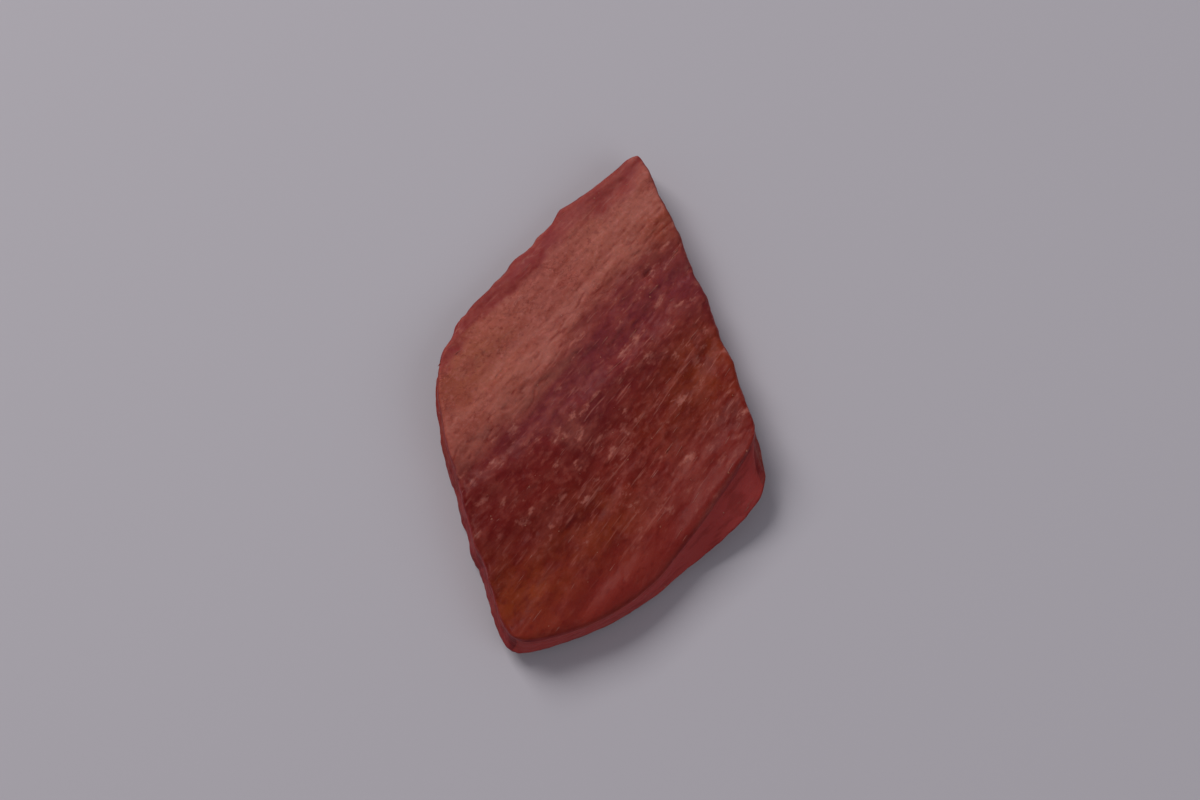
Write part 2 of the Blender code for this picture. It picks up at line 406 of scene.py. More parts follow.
def rounded_points(corners, sharpness, a, b):
    """Plan points of (a, b) drawn in near the corners by |ab| to the sharpness, over twice that and 1."""
    drawn_in = 1.0 - np.abs(a * b) ** sharpness / (2.0 * sharpness + 1.0)
    return blend_corners(corners, a * drawn_in, b * drawn_in)


def plan_points(a, b, c):
    """Plan points of the lattice, with the corners drawn in and the sides bowed, waved and hollowed."""
    quarter = np.where(a >= 0.0, np.where(b >= 0.0, 0, 1), np.where(b >= 0.0, 3, 2))
    under = rounded_points(UNDER_CORNERS, UNDER_SHARPNESS[quarter], a, b)
    upper = rounded_points(UPPER_CORNERS, UPPER_SHARPNESS[quarter], a, b)
    upper_share = 0.5 * (1.0 + c)
    plan = under + (upper - under) * upper_share[:, None]
    reaches = (a, -b, -a, b)
    places = (0.5 * (1.0 - b), 0.5 * (1.0 - a), 0.5 * (1.0 + b), 0.5 * (1.0 + a))
    for number in range(len(SIDES)):
        along = UNDER_CORNERS[(number + 1) % len(SIDES)] - UNDER_CORNERS[number]
        along = along / np.linalg.norm(along)
        outward = np.array((-along[1], along[0]))
        reach = np.clip(reaches[number], 0.0, 1.0) ** SIDE_REACH
        shift = side_shift(number, places[number]) - SIDE_HOLLOW[number] * (1.0 - c * c)
        if number == LOWER:
            shift = shift + SLANT_BULGE * upper_share * np.sin(math.pi * places[number])
        plan = plan + (shift * reach)[:, None] * outward
    return plan


def torn_side_place(plan):
    """How far plan points lie along the torn side, and how far inside it."""
    start = UNDER_CORNERS[TORN]
    along = (UNDER_CORNERS[0] - start) / np.linalg.norm(UNDER_CORNERS[0] - start)
    inward = np.array((along[1], -along[0]))
    return (plan - start) @ along, (plan - start) @ inward


def beyond_crest(plan):
    """How far plan points lie past the crest of the fold, seen from the torn side."""
    along, inside = torn_side_place(plan)
    return inside - CREST_INSET + CREST_CLOSING * smooth_step((along - CLOSING_START) / CLOSING_RUN)


def valley(plan):
    """How deep plan points lie in the valley past the crest: a bell that widens towards the right side."""
    along = torn_side_place(plan)[0]
    place = VALLEY_PLACE + VALLEY_WIDENING * np.maximum(along, VALLEY_END)
    return bump(beyond_crest(plan) / place, 1.0, 1.0)


def strand_place(plan):
    """Place of plan points across and along the fan of strands, in metres."""
    from_stalk = plan - STALK_END
    turn = np.arctan2(from_stalk[:, 1], from_stalk[:, 0]) - MIDDLE_STRAND
    return STRAND_RADIUS * turn, np.linalg.norm(from_stalk, axis=1)


def underside_height(plan):
    """Zero on the resting rectangle, and outside it a power of the reach past its rounded rim."""
    offset = plan - REST_CENTRE
    length = offset @ np.array((math.cos(REST_TURN), math.sin(REST_TURN))) / REST_HALF_LENGTH
    width = offset @ np.array((-math.sin(REST_TURN), math.cos(REST_TURN))) / REST_HALF_WIDTH
    reach = (np.abs(length) ** REST_SQUARENESS + np.abs(width) ** REST_SQUARENESS) ** (1.0 / REST_SQUARENESS)
    return CORNER_LIFT * np.clip(reach - 1.0, 0.0, None) ** LIFT_POWER


def broad_relief(plan):
    """The solid's own relief: ridges along the strands, creases beside the fold, the valley and the dish."""
    across, along = strand_place(plan)
    height = np.zeros(len(plan))
    for ridge, spacing, length in RIDGES:
        turn = 2.0 * math.pi * along / length
        fading = 1.0 + RIDGE_FADING * (np.cos(turn + across / spacing) - 1.0)
        height += ridge * fading * np.sin(2.0 * math.pi * across / spacing + RIDGE_SWAY * np.sin(turn))
    band = bump(beyond_crest(plan), CREASE_BAND, CREASE_BAND)
    crease_turn = 2.0 * math.pi * along / CREASE_SPACING
    creases = np.sin(crease_turn + across / CREASE_BAND) + np.sin(0.43 * crease_turn)
    dish = DISH_DEPTH * bump(np.linalg.norm(plan - DISH_CENTRE, axis=1), 0.0, DISH_RADIUS)
    return height + CREASE_HEIGHT * band * creases - VALLEY_DEPTH * valley(plan) - dish


def slab_thickness(plan):
    """Thickest at the crest, falling by a slope on each side of it, and thinner at the blunt end."""
    past = beyond_crest(plan)
    flank = FLANK_SLOPE * soft_ramp(-past, FOLD_SOFTNESS)
    face = FACE_SLOPE * soft_ramp(past, FOLD_SOFTNESS)
    blunt_end = np.linalg.norm(plan - UPPER_CORNERS[2], axis=1)
    return CREST_THICKNESS - flank - face - THINNING * (1.0 - smooth_step(blunt_end / THINNING_REACH))


def slab_points(lattice, edge_rounding):
    """Place lattice points on the slab's skin: plan by the corners, height between its two faces."""
    a, b = (np.copysign(1.0 - (1.0 - np.abs(v)) ** RIM_CROWDING, v) for v in lattice[:, :2].T)
    c = lattice[:, 2]
    plan = plan_points(a, b, c)
    low = underside_height(plan)
    high = low + slab_thickness(plan) + broad_relief(plan)
    rim = np.maximum(np.abs(a), np.abs(b))
    short = np.clip(1.0 - (1.0 - rim) * HALF_BREADTH / edge_rounding, 0.0, 1.0)
    rounding = edge_rounding * (1.0 - np.sqrt(1.0 - short * short))
    low = low + rounding
    high = high - rounding
    return np.column_stack((plan, low + (high - low) * 0.5 * (1.0 + c)))


def skin_normals(points, quads):
    """Outward unit normals: each quad's diagonals crossed, summed at its corners."""
    first, second = points[quads[:, 2]] - points[quads[:, 0]], points[quads[:, 3]] - points[quads[:, 1]]
    faces = np.cross(first, second)
    normals = np.stack(
        [
            np.bincount(quads.ravel(), np.repeat(faces[:, axis], 4), minlength=len(points))
            for axis in range(3)
        ],
        axis=1,
    )
    return normals / np.linalg.norm(normals, axis=1, keepdims=True)


def gauged_noise(across, height, along, noise):
    """Noise whose lumps have the noise's own gauge across the strands, up and along them."""
    wide, high, long, seed = noise
    return lattice_noise(across / wide, height / high, along / long, seed)


def strand_relief(across, height, along):
    """Strands of three gauges, from -1 to 1: noise that is long along the strands and sharp across."""
    total = np.zeros(len(across))
    for share, noise in STRANDS:
        total += share * (1.0 - 2.0 * np.abs(gauged_noise(across, height, along, noise))) * STRAND_GAIN
    return total


def bells(plan, places):
    """Sum of bells in plan, each given by its middle, its reach and its height."""
    total = np.zeros(len(plan))
    for x, y, reach, share in places:
        total += share * bump(np.hypot(plan[:, 0] - x, plan[:, 1] - y), 0.0, reach)
    return np.clip(total, 0.0, 1.0)


def flecked_share(plan):
    """How flecked the broad face is: 1 in its middle, falling to 0 towards the blunt end."""
    return smooth_step((plan[:, 1] - FLECKS_START) / FLECKS_RISE)


def crest_cracks(plan):
    """Short wandering cracks along the crest, from 0 to 1.

    They lie where one noise is near 0 and another is high. The first must also rise across the strands,
    so that no crack closes to a ring.
    """
    across, along = strand_place(plan)
    line = gauged_noise(across, 0.0, along, CRACKS)
    ahead = gauged_noise(across + CRACK_STEP, 0.0, along, CRACKS)
    broken = np.clip(0.50 + 1.5 * gauged_noise(across, 0.0, along, CRACK_BREAKS), 0.0, 1.0)
    crack = smooth_step(1.0 - np.abs(line) / 0.34) * smooth_step((ahead - line) / 0.04)
    return crack * broken * bump(beyond_crest(plan), CRACK_PLACE, CRACK_REACH)


def wrinkle(plan):
    """A thin broken wrinkle that borders the valley, 5 mm past the crest, from 0 to 1."""
    along = torn_side_place(plan)[0]
    wander = WRINKLE_WANDER * lattice_noise(along / 0.0024, 0.0, 0.0, WRINKLE_SEED)
    off = beyond_crest(plan) - WRINKLE_PLACE + wander
    broken = 0.55 + 0.9 * lattice_noise(along / 0.0016, off / 0.0016, 0.0, WRINKLE_SEED + 1)
    reach = smooth_step((along + 0.0050) / 0.0040) * smooth_step((0.0175 - along) / 0.0060)
    return bump(off, 0.0, WRINKLE_WIDTH) * np.clip(broken, 0.0, 1.0) * reach


def plain_cut(lattice):
    """Where the lower side's plain slanting cut lies: on the belt, where b is -1."""
    return ((np.abs(lattice[:, 2]) < 1.0) & (lattice[:, 1] == -1.0)).astype(float)


def lower_band(lattice):
    """Where the smooth band beside the lower side lies: 1 up to b of -0.94, falling to 0 at -0.7."""
    return smooth_step((BAND_END - (1.0 + lattice[:, 1])) / BAND_FADING)


def fine_relief(points, normals, lattice, look):
    """Height of the fine relief along the normals.

    It is the strands, creases across them that are strongest past the fold, shallow pits where noise
    runs high, a leathery net of ridged noise, the wrinkle and the crest's cracks. The cut sides have
    pinches and fibres besides. The flank, the shaded places and the blunt end keep less of it, the band
    beside the lower side and the straight right side half, and the plain slanting cut a third.
    """
    plan, height = points[:, :2], points[:, 2]
    across, along = strand_place(plan)
    up = np.clip(normals[:, 2], 0.0, 1.0)
    side = 1.0 - np.abs(normals[:, 2])
    past = beyond_crest(plan)
    patches, long_creases, short_creases, pits, net, pinches, fibres = (
        gauged_noise(across, height, along, noise)
        for noise in (PATCHES, LONG_CREASES, SHORT_CREASES, PITS, NET, PINCHES, FIBRES)
    )
    strand_share = (0.35 + 0.65 * up) * (0.75 + 0.6 * patches)
    crease_share = 0.25 + 0.9 * up * bump(past, 0.004, 0.008)
    relief = look.strand_height * strand_relief(across, height, along) * strand_share
    relief += look.crease_height * (long_creases + 0.6 * short_creases) * crease_share
    relief -= look.pit_depth * smooth_step((pits - 0.42) / 0.30) * (0.4 + 0.6 * up)
    relief += NET_HEIGHT * (1.0 - 2.0 * np.abs(net))
    relief *= (1.0 - 0.20 * side) * (1.0 - 0.35 * smooth_step(0.5 - past / 0.003))
    relief += PINCH_HEIGHT * pinches * side
    relief *= 1.0 - 0.45 * bells(plan, SHADED_PLACES) * up
    relief *= 0.7 + 0.4 * flecked_share(plan)
    relief += WRINKLE_HEIGHT * wrinkle(plan) * up
    relief -= CRACK_DEPTH * crest_cracks(plan) * up
    relief += FIBRE_HEIGHT * fibres * side
    relief *= 1.0 - 0.5 * smooth_step((lattice[:, 0] - 0.93) / 0.07)
    return relief * (1.0 - 0.67 * plain_cut(lattice)) * (1.0 - 0.5 * lower_band(lattice) * up)


def torn_fringe(points, normals):
    """Outward tatters of the torn side: noise of two gauges that fades 2 mm inside the rim."""
    along, inside = torn_side_place(points[:, :2])
    near = bump(inside, TATTER_PLACE, TATTER_REACH) * (1.0 - np.abs(normals[:, 2]))
    coarse = gauged_noise(along, points[:, 2], 0.0, COARSE_TATTERS)
    fine = gauged_noise(along, points[:, 2], 0.0, FINE_TATTERS)
    return near * (COARSE_TATTER_HEIGHT * coarse + FINE_TATTER_HEIGHT * fine)


def ragged(plan, coarse, fine, seed):
    """Wander for a mask's border, in metres: two gauges of noise that is longer along the strands."""
    across, along = strand_place(plan)
    wander = coarse * gauged_noise(across, 0.0, along, (0.0034, 1.0, 0.0090, seed))
    return wander + fine * gauged_noise(across, 0.0, along, (0.0011, 1.0, 0.0036, seed + 1))


def flesh_masks(plan, lattice, normals):
    """Where the dry flank, which is painted lighter as if lit, the cut sides, the clear orange places and
    the crest's cracks lie.

    The flank ends raggedly about 1.6 mm past the crest, over 4 mm. A cut side is the lattice's belt, and
    any other place that is steeper than the faces.
    """
    past = beyond_crest(plan) + ragged(plan, 0.0014, 0.0011, 71)
    up = np.clip(normals[:, 2], 0.0, 1.0)
    flank = smooth_step(0.5 - (past - FLANK_END) / FLANK_FADING) * smooth_step(up * 1.6)
    belt = np.abs(lattice[:, 2]) < 1.0
    cut = np.maximum(belt, smooth_step((0.75 - np.abs(normals[:, 2])) / 0.35))
    return flank, cut, bells(plan, CLEAR_PLACES), crest_cracks(plan) * up


def tone_masks(plan, lattice, normals):
    """Where the flesh has painted shade in the valley and in the shaded places, where it is dry and painted
    highlit, and where it is flecked.

    It has painted shade in the valley, less towards the left corner. It is driest along the crest, where it
    also has painted sheen, along the wrinkle and in the dry places, and has a painted highlight on the edge
    of the slanting cut. It is least flecked at the blunt end and in the shaded places.
    """
    past = beyond_crest(plan)
    along = torn_side_place(plan)[0]
    up = np.clip(normals[:, 2], 0.0, 1.0)
    # Painted shade in the valley past the crest.
    dusky = valley(plan) * smooth_step(past / 0.0020) * smooth_step((along + 0.016) / 0.030)
    # Painted highlight along the edge of the slanting cut.
    cut_edge_highlight = bump(1.0 + lattice[:, 1], 0.010, 0.010) * smooth_step(lattice[:, 0] * 1.4)
    # Along the crest it is partly dry flesh and partly painted sheen.
    driest = 0.75 * bump(past, -0.0004, 0.0026) + 0.8 * bells(plan, DRY_PLACES)
    driest = driest + wrinkle(plan) + 0.6 * cut_edge_highlight
    # The shaded places, where darker red is painted shade.
    deep = bells(plan, SHADED_PLACES)
    return dusky * up, deep, np.clip(driest, 0.0, 1.0) * up, flecked_share(plan) * (1.0 - 0.6 * deep)


def rim_masks(plan, lattice, normals):
    """Where the torn rim, the band beside the lower side, the tan places and the plain cut lie.

    The rim is counted from the torn side's bow, a half sine. It has a ragged border and is about 3 mm
    wide, and 4.5 mm at the tip, and the smooth band is about 6 mm wide.
    """
    place = 0.5 * (1.0 + lattice[:, 0])
    inside = torn_side_place(plan)[1] + SIDE_BOW[TORN][0] * np.sin(math.pi * place)
    up = np.clip(normals[:, 2], 0.0, 1.0)
    width = RIM_WIDTH + RIM_WIDENING * smooth_step(place)
    rim = smooth_step((width + ragged(plan, 0.0015, 0.0012, 75) - inside) / RIM_FADING)
    return rim * up, lower_band(lattice) * up, bells(plan, TAN_PLACES) * up, plain_cut(lattice)


def make_mesh(name, points, faces, smooth=True):
    """Put points and faces of one size into a new mesh object."""
    mesh = bpy.data.meshes.new(name)
    corners = faces.shape[1]
    mesh.vertices.add(len(points))
    mesh.vertices.foreach_set("co", points.astype(np.float32).ravel())
    mesh.loops.add(faces.size)
    mesh.loops.foreach_set("vertex_index", faces.astype(np.int32).ravel())
    mesh.polygons.add(len(faces))
    mesh.polygons.foreach_set("loop_start", np.arange(0, faces.size, corners, dtype=np.int32))
    mesh.polygons.foreach_set("loop_total", np.full(len(faces), corners, dtype=np.int32))
    mesh.update(calc_edges=True)
    mesh.validate()
    mesh.polygons.foreach_set("use_smooth", np.full(len(mesh.polygons), smooth))
    piece = bpy.data.objects.new(name, mesh)
    bpy.context.scene.collection.objects.link(piece)
    return piece


def add_attribute(piece, name, kind, field, values):
    """Store one value for each vertex of a piece."""
    attribute = piece.data.attributes.new(name, kind, "POINT")
    attribute.data.foreach_set(field, np.asarray(values, dtype=np.float32).ravel())


class Nodes:
    """A short way to lay out a material's nodes. Its place is the point in Object coordinates."""

    def __init__(self, name):
        self.material = bpy.data.materials.new(name)
        self.material.use_nodes = True
        self.tree = self.material.node_tree
        self.shader = self.tree.nodes["Principled BSDF"]
        self.place = self.add("ShaderNodeTexCoord").outputs["Object"]

    def add(self, kind, inputs=None, **values):
        """Add a node, set its values, and set or link its inputs."""
        node = self.tree.nodes.new(kind)
        for key, value in values.items():
            setattr(node, key, value)
        for key, value in (inputs or {}).items():
            self.feed(node.inputs[key], value)
        return node

    def feed(self, socket, value):
        """Link a socket to another node's output, or set it."""
        if isinstance(value, bpy.types.NodeSocket):
            self.tree.links.new(value, socket)
        else:
            socket.default_value = value

    def surface(self, inputs):
        """Feed the shader's inputs and return the material."""
        for key, value in inputs.items():
            self.feed(self.shader.inputs[key], value)
        return self.material

    def attribute(self, name):
        """A vertex attribute's node."""
        return self.add("ShaderNodeAttribute", attribute_name=name)

    def noise(self, vector, scale, detail=2.0, roughness=0.5):
        """A noise texture's value."""
        inputs = {"Vector": vector, "Scale": scale, "Detail": detail, "Roughness": roughness}
        return self.add("ShaderNodeTexNoise", inputs).outputs["Fac"]

    def drawn_noise(self, vector, scales, detail, roughness):
        """A noise texture's value, with a scale for each axis."""
        mapping = self.add("ShaderNodeMapping", {"Vector": vector, "Scale": scales})
        return self.noise(mapping.outputs["Vector"], 1.0, detail, roughness)

    def span(self, value, low, high, start=0.0, end=1.0):
        """Map low to high onto start to end, with level ends, and no further."""
        inputs = {"Value": value, "From Min": low, "From Max": high, "To Min": start, "To Max": end}
        node = self.add("ShaderNodeMapRange", inputs, interpolation_type="SMOOTHSTEP")
        return node.outputs["Result"]

    def sparing(self, mask, share):
        """1 where a mask is 0, falling to a share where it is 1."""
        return self.span(mask, 0.0, 1.0, 1.0, share)

    def maths(self, operation, first, second):
        """One step of arithmetic."""
        node = self.add("ShaderNodeMath", operation=operation)
        self.feed(node.inputs[0], first)
        self.feed(node.inputs[1], second)
        return node.outputs[0]

    def times(self, first, second):
        """One value times another."""
        return self.maths("MULTIPLY", first, second)

    def blend(self, factor, first, second):
        """A colour between two, by a factor. A plain colour gets full cover."""
        node = self.add("ShaderNodeMix", data_type="RGBA")
        self.feed(node.inputs[0], factor)
        for number, colour in ((6, first), (7, second)):
            is_socket = isinstance(colour, bpy.types.NodeSocket)
            self.feed(node.inputs[number], colour if is_socket else (*colour, 1.0))
        return node.outputs[2]

    def bumped(self, height, distance, strength, normal=None):
        """A normal tilted by a height."""
        inputs = {"Height": height, "Distance": distance, "Strength": strength}
        if normal is not None:
            inputs["Normal"] = normal
        return self.add("ShaderNodeBump", inputs).outputs["Normal"]


def flesh_noises(n):
    """The noises that the flesh shares. All from streaks on are drawn out along the strands."""
    strand = n.attribute("strand_place").outputs["Vector"]
    cracks = n.drawn_noise(strand, (430.0, 430.0, 210.0), 4.0, 0.62)
    return SimpleNamespace(
        clouds=n.noise(n.place, 110.0, 4.0, 0.55),
        blotches=n.noise(n.place, 330.0, 3.0, 0.6),
        speckle=n.noise(n.place, 1500.0, 3.0, 0.65),
        grain=n.noise(n.place, 5200.0, 2.0, 0.6),
        streaks=n.drawn_noise(strand, (640.0, 640.0, 165.0), 3.0, 0.55),
        pebbles=n.drawn_noise(strand, (1500.0, 1500.0, 820.0), 2.0, 0.5),
        flecks=n.drawn_noise(strand, (900.0, 900.0, 450.0), 3.0, 0.62),
        hairs=n.drawn_noise(strand, (2000.0, 2000.0, 150.0), 2.0, 0.6),
        layers=n.drawn_noise(strand, (520.0, 1300.0, 190.0), 3.0, 0.55),
        cracks=n.maths("ABSOLUTE", n.maths("SUBTRACT", cracks, 0.5), 0.0),
    )


def mask_sockets(n):
    """The flesh's twelve masks by name, read from the attributes that store them."""
    sockets = {}
    for attribute, names in MASKS.items():
        node = n.attribute(attribute)
        channels = n.add("ShaderNodeSeparateColor", {"Color": node.outputs["Color"]}).outputs
        sockets.update(zip(names, (*channels, node.outputs["Alpha"])))
    return SimpleNamespace(**sockets)


def face_colour(n, look, masks, noises):
    """The broad face: red that is darker in places as painted shade, with painted shade in the valley, and
    orange where it is clear.
    """
    colour = n.blend(n.span(noises.clouds, 0.36, 0.66), look.deep_red_and_shade, look.warm_red)
    # Painted shade: darker red in the shaded places.
    colour = n.blend(n.times(masks.deep, 0.8), colour, look.deep_red_and_shade)
    # Painted shade in the valley past the crest, broken by streaks.
    dusky = n.times(masks.dusky, n.span(noises.streaks, 0.66, 0.36, 0.55, 0.95))
    colour = n.blend(dusky, colour, look.valley_shade_red)
    colour = n.blend(masks.clear, colour, look.burnt_orange)
    colour = n.blend(n.span(noises.streaks, 0.44, 0.70, 0.0, 0.20), colour, look.dry_and_lit_salmon)
    colour = n.blend(n.span(noises.streaks, 0.48, 0.28, 0.0, 0.40), colour, look.deep_red_and_shade)
    return n.blend(n.times(masks.band, 0.50), colour, look.band_red)


def flank_colour(n, look, masks, noises):
    """The dry flank, painted lighter as if lit: salmon, tan and clear places with specks and cracks, and
    rose on the torn rim.
    """
    tan = n.times(masks.tan, n.span(noises.blotches, 0.34, 0.60, 0.25, 1.0))
    colour = n.blend(tan, look.dry_and_lit_salmon, look.tan_brown)
    colour = n.blend(n.times(masks.clear, 0.65), colour, look.burnt_orange)
    colour = n.blend(n.span(noises.blotches, 0.50, 0.68, 0.0, 0.45), colour, look.flank_light)
    colour = n.blend(n.span(noises.speckle, 0.53, 0.68, 0.0, 0.75), colour, look.flank_light)
    colour = n.blend(n.span(noises.speckle, 0.47, 0.32, 0.0, 0.75), colour, look.flank_shade)
    cracked = n.times(n.span(noises.cracks, 0.020, 0.002, 0.0, 0.42), n.span(noises.clouds, 0.42, 0.58))
    colour = n.blend(cracked, colour, look.deep_red_and_shade)
    rim = n.times(masks.rim, n.span(noises.blotches, 0.32, 0.62, 0.98, 0.66))
    return n.blend(rim, colour, look.rim_rose)


def side_colour(n, look, masks, noises):
    """The cut sides: rose in darker and paler layers with clear places, and on the plain cut a maroon
    painted lighter to make up for its shade.
    """
    colour = n.blend(n.span(noises.layers, 0.52, 0.34, 0.0, 0.55), look.rim_rose, look.deep_red_and_shade)
    colour = n.blend(n.span(noises.clouds, 0.48, 0.66, 0.0, 0.35), colour, look.burnt_orange)
    colour = n.blend(n.span(noises.layers, 0.56, 0.72, 0.0, 0.25), colour, look.dry_and_lit_salmon)
    # The plain cut's maroon, painted lighter to make up for its shade.
    plain = n.blend(n.span(noises.layers, 0.50, 0.36, 0.0, 0.40), look.lit_cut_maroon, look.warm_red)
    return n.blend(n.times(masks.plain, 0.90), colour, plain)


def finest_marks(n, look, masks, noises, colour):
    """Lay painted highlights on the relief's crests and bump tops, painted shade in its hollows and dimples,
    and pale flecks and hairs, partly painted glints, over a colour.

    The dry flank, the cut sides, the smooth band and the unflecked places keep less of them.
    """
    relief = n.attribute("relief").outputs["Fac"]
    calm = n.sparing(masks.flank, 0.35)
    # Painted highlight on the crests of the relief.
    crest_highlight = n.times(calm, n.span(relief, 0.25, 0.95, 0.0, 0.16))
    colour = n.blend(crest_highlight, colour, look.dry_and_lit_salmon)
    # Painted shade in the hollows of the relief.
    hollow_shade = n.times(calm, n.span(relief, -0.15, -0.9, 0.0, 0.40))
    colour = n.blend(hollow_shade, colour, look.deep_red_and_shade)
    uncut = n.times(n.sparing(masks.cut, 0.55), n.sparing(masks.plain, 0.25))
    open_face = n.times(uncut, n.sparing(masks.band, 0.35))
    open_face = n.times(open_face, n.span(masks.flecked, 0.0, 1.0, 0.40, 1.0))
    # Painted highlight on the tops of the pebbles' bumps.
    pebbles = n.times(open_face, n.span(noises.pebbles, 0.50, 0.72, 0.0, 0.34))
    colour = n.blend(pebbles, colour, look.dry_and_lit_salmon)
    # Painted shade in the dimples between the pebbles' bumps.
    dimple_shade = n.times(calm, n.span(noises.pebbles, 0.46, 0.28, 0.0, 0.30))
    colour = n.blend(n.times(dimple_shade, uncut), colour, look.deep_red_and_shade)
    # Pale flecks and hairs: partly dry marks, partly painted glints.
    flecks = n.times(n.span(noises.flecks, 0.54, 0.70), n.span(noises.streaks, 0.42, 0.62, 0.12, 0.72))
    pale_and_glint = n.maths("MAXIMUM", flecks, n.span(noises.hairs, 0.60, 0.73, 0.0, 0.44))
    pale_and_glint = n.times(pale_and_glint, n.sparing(masks.flank, 0.55))
    return n.blend(n.times(pale_and_glint, open_face), colour, look.pale_fleck_and_glint)


def flesh_material(look):
    """Leathery flesh: maroon to warm red, orange where it is clear, salmon where it is dry, with painted
    light and shade.
    """
    n = Nodes("papaya_flesh")
    noises = flesh_noises(n)
    masks = mask_sockets(n)
    # The clear places get ragged borders.
    masks.clear = n.times(masks.clear, n.span(noises.blotches, 0.30, 0.62, 0.25, 1.0))
    # The flank: dry flesh, and painted lighter as if lit.
    lit_flank_share = n.times(masks.flank, n.span(noises.streaks, 0.28, 0.60, 0.80, 1.0))
    colour = n.blend(lit_flank_share, face_colour(n, look, masks, noises), flank_colour(n, look, masks, noises))
    # Driest places: partly dry flesh, partly painted highlight and sheen.
    dry_and_highlight_share = n.times(masks.driest, n.span(noises.streaks, 0.38, 0.64, 0.08, 0.52))
    colour = n.blend(dry_and_highlight_share, colour, look.pale_fleck_and_glint)
    colour = n.blend(n.times(masks.cracked, 0.80), colour, look.warm_red)
    colour = n.blend(n.times(masks.cut, 0.92), colour, side_colour(n, look, masks, noises))
    roughness = n.span(noises.blotches, 0.30, 0.70, 0.38, 0.58)
    normal = n.bumped(noises.pebbles, 0.00022, 0.50)
    normal = n.bumped(noises.hairs, 0.00010, 0.30, normal)
    return n.surface(
        {
            "Base Color": finest_marks(n, look, masks, noises, colour),
            "Roughness": n.maths("ADD", roughness, n.times(masks.flank, 0.06)),
            "Normal": n.bumped(noises.grain, 0.00006, 0.5, normal),
            "Specular IOR Level": 0.08,
            "Specular Tint": (1.0, 0.62, 0.58, 1.0),
            "Subsurface Weight": 0.30,
            "Subsurface Radius": (1.0, 0.30, 0.16),
            "Subsurface Scale": 0.0014,
            "Coat Weight": 0.03,
            "Coat Roughness": 0.22,
        }
    )


def strand_material(scatter):
    """Dry strand ends, from pale to red by their tone, with pale spots."""
    n = Nodes("papaya_strands")
    mottle = n.noise(n.place, 1800.0)
    tone = n.attribute("tone").outputs["Fac"]
    colour = n.blend(tone, scatter.strand_colour, scatter.strand_red)
    return n.surface(
        {
            "Base Color": n.blend(n.span(mottle, 0.40, 0.65, 0.0, 0.5), colour, scatter.strand_mottle),
            "Roughness": n.span(mottle, 0.3, 0.7, 0.42, 0.60),
            "Subsurface Weight": 0.3,
            "Subsurface Radius": (1.0, 0.30, 0.14),
            "Subsurface Scale": 0.001,
        }
    )


def sugar_material(scatter):
    """Grains of dried sugar, from pale to amber by their tone, with pale spots and a wet gloss."""
    n = Nodes("papaya_sugar")
    mottle = n.noise(n.place, 2600.0)
    tone = n.attribute("tone").outputs["Fac"]
    colour = n.blend(tone, scatter.grain_colour, scatter.grain_amber)
    return n.surface(
        {
            "Base Color": n.blend(n.span(mottle, 0.45, 0.70, 0.0, 0.4), colour, scatter.grain_mottle),
            "Roughness": n.span(mottle, 0.3, 0.7, 0.22, 0.42),
            "Subsurface Weight": 0.4,
            "Subsurface Radius": (1.0, 0.5, 0.3),
            "Subsurface Scale": 0.0008,
        }
    )


def floor_material(stage):
    """A pale, nearly matt sheet with a faint mottle."""
    n = Nodes("pale_floor")
    shade = [FLOOR_SHADE * value for value in stage.floor_colour]
    colour = n.blend(n.noise(n.place, 9.0, 3.0), stage.floor_colour, shade)
    return n.surface({"Base Color": colour, "Roughness": 0.62, "Specular IOR Level": 0.3})


class PAPAYA_OT_flesh(bpy.types.Operator):
    """Build the slice's flesh as one closed skin"""

    bl_idname = "papaya.flesh"
    bl_label = "Build Flesh"

    def execute(self, context):
        look = context.scene.papaya_flesh
        lattice, quads = box_lattice(look.cells, look.rows)
        points = slab_points(lattice, look.edge_rounding)
        normals = skin_normals(points, quads)
        relief = fine_relief(points, normals, lattice, look)
        plan = points[:, :2]
        across, along = strand_place(plan)
        moved = points + normals * (relief + torn_fringe(points, normals))[:, None]
        moved[:, 2] = np.clip(moved[:, 2], NODE_LOW[2], NODE_HIGH[2])
        piece = make_mesh("papaya_flesh", moved, quads)
        strand = np.column_stack((across, points[:, 2], along))
        add_attribute(piece, "strand_place", "FLOAT_VECTOR", "vector", strand)
        add_attribute(piece, "relief", "FLOAT", "value", relief / (look.strand_height * 1.2))
        for name, make_masks in zip(MASKS, (flesh_masks, tone_masks, rim_masks)):
            masks = np.column_stack(make_masks(plan, lattice, normals))
            add_attribute(piece, name, "FLOAT_COLOR", "color", masks)
        piece.data.materials.append(flesh_material(look))
        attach(piece, BODY)
        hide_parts(NODE)
        return {"FINISHED"}


def drawn_places(random, count, lowest):
    """Draw vertices of the finished flesh above a height, and return their places and facings."""
    flesh = bpy.data.objects.get("papaya_flesh")
    if flesh is None:
        raise RuntimeError("build the flesh before what lies in it")
    mesh = flesh.data
    skin = np.empty(len(mesh.vertices) * 3, dtype=np.float32)
    mesh.vertices.foreach_get("co", skin)
    skin = skin.reshape(-1, 3)
    tree = BVHTree.FromPolygons([v.co for v in mesh.vertices], [p.vertices for p in mesh.polygons])
    drawn = skin[random.choice(len(skin), size=count * SPARE_DRAWS, replace=False)]
    drawn = drawn[drawn[:, 2] > lowest][:count]
    hits = [tree.find_nearest(Vector(place)) for place in drawn]
    return np.array([hit[0] for hit in hits]), np.array([hit[1] for hit in hits])


